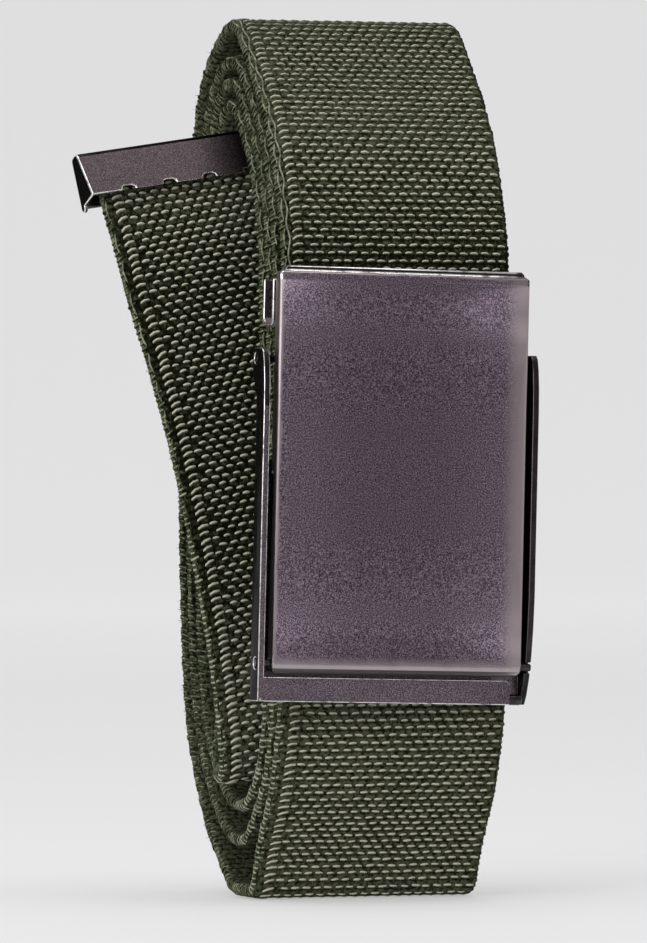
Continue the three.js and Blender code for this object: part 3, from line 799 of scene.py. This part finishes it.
def margin_yarn():
    """The longer yarn at the left margin: it comes up beside the edge and bends into its row."""
    points = [(-1.15, -0.62, -0.3), (-0.9, -0.42, -0.02), (-0.35, -0.1, 0.05), (0.45, 0, 0.03),
              (1.0, -0.08, -0.3)]
    radii = [(0.16, 0.1), (0.34, 0.22), (0.38, 0.28), (0.34, 0.25), (0.16, 0.1)]
    return tube_along("margin_yarn", points, radii, FLOAT_RING, (0.8, 1, 1, 1, 0.8))


def wrap_yarn(side, bend_crest):
    """One wrap of yarn over an edge of the strap, from its front face to its back face."""
    angles = np.radians(np.linspace(78, -78, 5))
    bend = [(0.02 + WRAP_REACH * math.cos(a), -0.5 * math.cos(a), WRAP_REACH * math.sin(a)) for a in angles]
    points = [(-0.75, 0.1, 0.8), *bend, (-0.75, 0.1, -0.8)]
    radii = [(0.14, 0.1), *[(0.3, 0.17)] * 5, (0.14, 0.1)]
    crests = (0.4, *[bend_crest] * 5, 0.4)
    return tube_along("wrap_yarn", points, radii, WRAP_RING, crests, side)


def fibre():
    """A loose end of fibre that stands off an edge."""
    points = [(0, 0, -0.2), (0.14, 0.12, 0.12), (0.36, 0.34, 0.26)]
    radii = [(0.05, 0.05), (0.04, 0.04), (0.02, 0.02)]
    return tube_along("fibre", points, radii, FIBRE_RING, (0.6, 0.6, 0.6))


def finished(piece, body):
    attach(piece, body)
    return piece


def laid(name, path, rows, yarn, start, count, **sizes):
    """Yarns of one kind set in rows along the strap, as one piece."""
    values = {"Path": path, "Yarn": yarn, "Start": start * MM, "Rows": count, "Columns": 1,
              "Row Spacing": ROW_SPACING * MM, "Jitter": YARN_JITTER * MM, "Turn": YARN_TURN}
    values.update({label.replace("_", " "): value for label, value in sizes.items()})
    return grown(name, rows, values)


def woven_face(name, path, rows, kinds, material, stretch, seed, tone=0.0):
    """The floats and the margin yarns on one stretch of the strap's outer face."""
    start, end = stretch
    count = int((end - start) / ROW_SPACING)
    # A tone above zero paints these yarns paler, as light on this stretch
    shared = {"Height": YARN_HEIGHT * MM, "Tone_Change": tone, "Change_Above": BELOW_ALL * MM,
              "Material": material}
    floats = laid("weave_" + name, path, rows, kinds["float"], start, count, Columns=FLOATS_PER_ROW,
                  Pitch=FLOAT_PITCH * MM, First_Across=FIRST_FLOAT * MM, Row_Shift=0.5, Seed=seed, **shared)
    margins = laid("margin_" + name, path, rows, kinds["margin"], start, count,
                   First_Across=MARGIN_ACROSS * MM, Seed=seed + 100, **shared)
    return [floats, margins]


def edge_pieces(path, rows, kinds, material, length):
    """What lies along the two edges of the strap: wraps, beads, cords and loose fibres."""
    cords = cord_tree()
    reach = length - EDGE_STOPS_SHORT
    pieces = []
    for label, side in (("left", -1), ("right", 1)):
        pieces.append(laid("edge_wraps_" + label, path, rows, kinds[label + "_wrap"], EDGE_START,
                           int(reach / WRAP_SPACING), Row_Spacing=WRAP_SPACING * MM, Height=0.0,
                           First_Across=side * WRAP_CENTRE * MM, Tone_Change=REAR_WRAP_SHADE,
                           Jitter=WRAP_JITTER * MM, Seed=50 + side, Material=material))
        pieces.append(grown("edge_bead_" + label, cords, {
            "Path": path, "Across": side * BEAD_ACROSS * MM, "Out": 0.0, "Radius": BEAD_RADIUS * MM,
            "Sides": 12, "Low Crest": 0.25, "High Crest": 0.32, "Material": material}))
    for label, cord in CORDS.items():
        pieces.append(grown("edge_cord_" + label, cords, {
            "Path": path, "Across": cord["across"] * MM, "Out": cord["out"] * MM,
            "Radius": CORD_RADIUS * MM, "Sides": 5, "Wave": cord["wave"] * MM,
            "Wave Length": CORD_WAVE_LENGTH * MM, "Low Crest": 0.2, "High Crest": 0.62,
            "End": (cord["end"] or length) * MM, "Material": material}))
    pieces.append(laid("edge_fuzz", path, rows, kinds["fibre"], EDGE_START, int(reach / FUZZ_SPACING),
                       Row_Spacing=FUZZ_SPACING * MM, First_Across=FUZZ_ACROSS * MM, Height=0.0,
                       Jitter=FUZZ_JITTER * MM, Turn=FUZZ_TURN, Seed=71, Material=material))
    return pieces


def make_strap():
    path, length = strap_path()
    # The right edge's wraps are painted darker than the left's, as shade on the edge turned from the light
    kinds = {"float": float_yarn(), "margin": margin_yarn(), "left_wrap": wrap_yarn(-1, 0.86),
             "right_wrap": wrap_yarn(1, 0.4), "fibre": fibre()}
    band = grown("strap_web", band_tree(), {
        "Path": path, "Width": WEB_WIDTH * MM, "Thickness": WEB_THICKNESS * MM,
        "Corner": WEB_CORNER * MM, "Material": web_material()})
    rows = rows_tree()
    yarn = yarn_material()
    rows_to_middle = round((OUTSIDE_SHOWS_TO - FIRST_ROW) / 2 / ROW_SPACING)
    middle = FIRST_ROW + ROW_SPACING * rows_to_middle
    free_end = (FREE_END_SHOWS_FROM, length - FREE_END_STOPS_SHORT)
    pieces = [
        *woven_face("outside_upper", path, rows, kinds, yarn, (FIRST_ROW, middle), 11),
        *woven_face("outside_lower", path, rows, kinds, yarn, (middle, OUTSIDE_SHOWS_TO), 23),
        *woven_face("free_end", path, rows, kinds, yarn, free_end, 37, FREE_END_LIGHT),
        *edge_pieces(path, rows, kinds, edge_material(), length),
    ]
    finished(band, "belt")
    for piece in pieces:
        finished(piece, "belt")
    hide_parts("strap")
    for helper in (path, *kinds.values()):
        bpy.data.objects.remove(helper)


# Metal fittings
WELD = 0.002
FLAT_ANGLE = math.radians(0.05)
SMOOTH_ANGLE = math.radians(28)
BEVEL_ANGLE = math.radians(50)
FRONT_SLOPE = -0.75
FRONT_AREA = 100


def merged_copy(node, name):
    """The node's shape as one welded mesh, with flat areas as single faces."""
    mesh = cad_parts[node].data.copy()
    bm = bmesh.new()
    bm.from_mesh(mesh)
    bmesh.ops.remove_doubles(bm, verts=bm.verts, dist=WELD * MM)
    bmesh.ops.dissolve_limit(bm, angle_limit=FLAT_ANGLE, verts=bm.verts, edges=bm.edges)
    made = bpy.data.meshes.new(name)
    bm.to_mesh(made)
    bm.free()
    piece = bpy.data.objects.new(name, made)
    bpy.context.scene.collection.objects.link(piece)
    return piece


def cut_many_sided_faces(mesh):
    """Faces with more than four corners as triangles, so that none folds over itself in the bevel."""
    bm = bmesh.new()
    bm.from_mesh(mesh)
    bmesh.ops.triangulate(bm, faces=[face for face in bm.faces if len(face.verts) > 4])
    bm.to_mesh(mesh)
    bm.free()


def fitting(node, name, body, finishes, edge):
    """A copy of a node with its bends rounded.

    Of three finishes its front has the first, its edges the second and its sides the third.
    """
    piece = merged_copy(node, name)
    for finish in finishes:
        piece.data.materials.append(finish)
    if len(finishes) == 3:
        for face in piece.data.polygons:
            front = face.normal.y < FRONT_SLOPE and face.area > FRONT_AREA * MM**2
            face.material_index = 0 if front else 2
    cut_many_sided_faces(piece.data)
    piece.data.shade_smooth()
    piece.data.set_sharp_from_angle(angle=SMOOTH_ANGLE)
    if edge:
        bevel = piece.modifiers.new("edges", "BEVEL")
        bevel.width = edge * MM
        bevel.segments = 3
        bevel.use_clamp_overlap = False
        bevel.limit_method = "ANGLE"
        bevel.angle_limit = BEVEL_ANGLE
        bevel.material = min(1, len(finishes) - 1)
        bevel.harden_normals = True
    finished(piece, body)
    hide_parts(node)


def make_fittings():
    gunmetal = gunmetal_material("gunmetal", dark=(0.032, 0.024, 0.031), pale=(0.285, 0.232, 0.272))
    dull = gunmetal_material("dull_gunmetal", dark=(0.02, 0.015, 0.017), pale=(0.105, 0.083, 0.092))
    rim = rim_material()
    # Sides of the frame: a smooth finish, painted dark as shade
    side = side_material("smooth_shaded_gunmetal", dark=(0.018, 0.015, 0.016), pale=(0.048, 0.042, 0.043),
                         graze=0.5, metallic=0.95)
    # Sides of the tip: painted darker still, as shade
    shaded = side_material("shaded_gunmetal", dark=(0.008, 0.007, 0.007), pale=(0.026, 0.022, 0.023),
                           graze=0.1, metallic=0.95)
    # Sides of the clamp: painted pale and less metallic, a painted reflection
    pale_painted_end = side_material("pale_painted_gunmetal", dark=(0.2, 0.175, 0.18), pale=(0.32, 0.285, 0.29),
                            graze=1.0, metallic=0.35)
    pin = pin_material()
    fitting("cover_plate", "cover_lever", "cover", [cover_material(), rim], edge=0.24)
    fitting("buckle_frame", "frame_channel", "belt", [gunmetal, rim, side], edge=0.13)
    fitting("end_clamp", "clamp", "belt", [gunmetal, rim, pale_painted_end], edge=0.2)
    fitting("strap_tip", "tip", "belt", [dull, rim, shaded], edge=0.2)
    fitting("cross_rod", "rod", "belt", [pin], edge=0)
    fitting("hinge_pin", "cover_pin", "belt", [pin], edge=0.1)
    fitting("link_pin", "clamp_pin", "belt", [pin], edge=0.1)


# Studio
BACKDROP_REACH = 6000
SWEEP_START = 2300
SWEEP_RADIUS = 1600
SWEEP_STEPS = 24
PAPER = (0.38, 0.38, 0.383)
FLOOR_GLOW = 0.39
WALL_GLOW = 0.53
GLOW_DEPTH = 2400
AIR_GLOW = 0.4
PANELS = {
    "high_panel": {"place": (0, -100, 1400), "target": (0, 20, 60), "size": (1100, 1100), "watts": 10},
    "left_panel": {"place": (-1000, -560, 300), "target": (0, 0, 60), "size": (850, 800), "watts": 10},
    "right_panel": {"place": (1250, -720, 300), "target": (0, 0, 70), "size": (500, 600), "watts": 1.05},
}


def backdrop_mesh():
    """A floor that rises into the wall far behind in one sweep."""
    profile = [(-BACKDROP_REACH, 0), (SWEEP_START, 0)]
    for step in range(1, SWEEP_STEPS + 1):
        angle = math.radians(90 * step / SWEEP_STEPS)
        profile.append((SWEEP_START + SWEEP_RADIUS * math.sin(angle), SWEEP_RADIUS * (1 - math.cos(angle))))
    profile.append((SWEEP_START + SWEEP_RADIUS, BACKDROP_REACH))
    corners = [(x, y, z) for y, z in profile for x in (-BACKDROP_REACH, BACKDROP_REACH)]
    faces = [(2 * i, 2 * i + 1, 2 * i + 3, 2 * i + 2) for i in range(len(profile) - 1)]
    mesh = bpy.data.meshes.new("backdrop")
    mesh.from_pydata([tuple(c * MM for c in corner) for corner in corners], [], faces)
    mesh.shade_smooth()
    return mesh


def paper_material():
    """Pale paper that glows a little, more towards the wall."""
    material, tree, shader, place = surface("pale_paper")
    faint = mixed(tree, noise(tree, place, 40.0), (0.985, 0.985, 0.985, 1), (1, 1, 1, 1))
    feed(tree, shader.inputs["Base Color"], mixed(tree, 1.0, (*PAPER, 1), faint, "MULTIPLY"))
    glow = ranged(tree, axis_of(tree, place, "Y"), 0.0, GLOW_DEPTH * MM, FLOOR_GLOW, WALL_GLOW)
    feed(tree, shader.inputs["Emission Strength"], glow)
    set_shader(shader, Roughness=0.9, Emission_Color=(1, 1, 1, 1))
    return material


def backdrop():
    mesh = backdrop_mesh()
    mesh.materials.append(paper_material())
    floor = bpy.data.objects.new("backdrop", mesh)
    bpy.context.scene.collection.objects.link(floor)


def softbox(name, place, target, size, watts):
    data = bpy.data.lights.new(name, "AREA")
    data.shape = "RECTANGLE"
    data.size = size[0] * MM
    data.size_y = size[1] * MM
    data.energy = watts
    lamp = bpy.data.objects.new(name, data)
    bpy.context.scene.collection.objects.link(lamp)
    lamp.location = to_part(place)
    lamp.rotation_euler = (to_part(target) - lamp.location).to_track_quat("-Z", "Y").to_euler()


def studio():
    backdrop()
    for name, panel in PANELS.items():
        softbox(name, **panel)
    world = bpy.data.worlds.new("studio_air")
    world.use_nodes = True
    air = world.node_tree.nodes["Background"]
    air.inputs["Color"].default_value = (1, 1, 1, 1)
    air.inputs["Strength"].default_value = AIR_GLOW
    bpy.context.scene.world = world
    bpy.context.scene.view_settings.view_transform = "Standard"


def photo_camera():
    data = bpy.data.cameras.new("camera")
    data.lens = LENS
    data.sensor_width = SENSOR_WIDTH
    data.sensor_fit = "AUTO"
    data.shift_x = SHIFT[0]
    data.shift_y = SHIFT[1]
    data.clip_start = NEAREST_SEEN * MM
    data.clip_end = FARTHEST_SEEN * MM
    camera = bpy.data.objects.new("camera", data)
    bpy.context.scene.collection.objects.link(camera)
    left = CAMERA_DISTANCE * math.sin(CAMERA_TURN)
    front = CAMERA_DISTANCE * math.cos(CAMERA_TURN)
    camera.location = to_part((-left, -front, CAMERA_HEIGHT))
    camera.rotation_euler = (math.pi / 2, 0, -CAMERA_TURN)
    bpy.context.scene.camera = camera


make_strap()
make_fittings()
studio()
photo_camera()
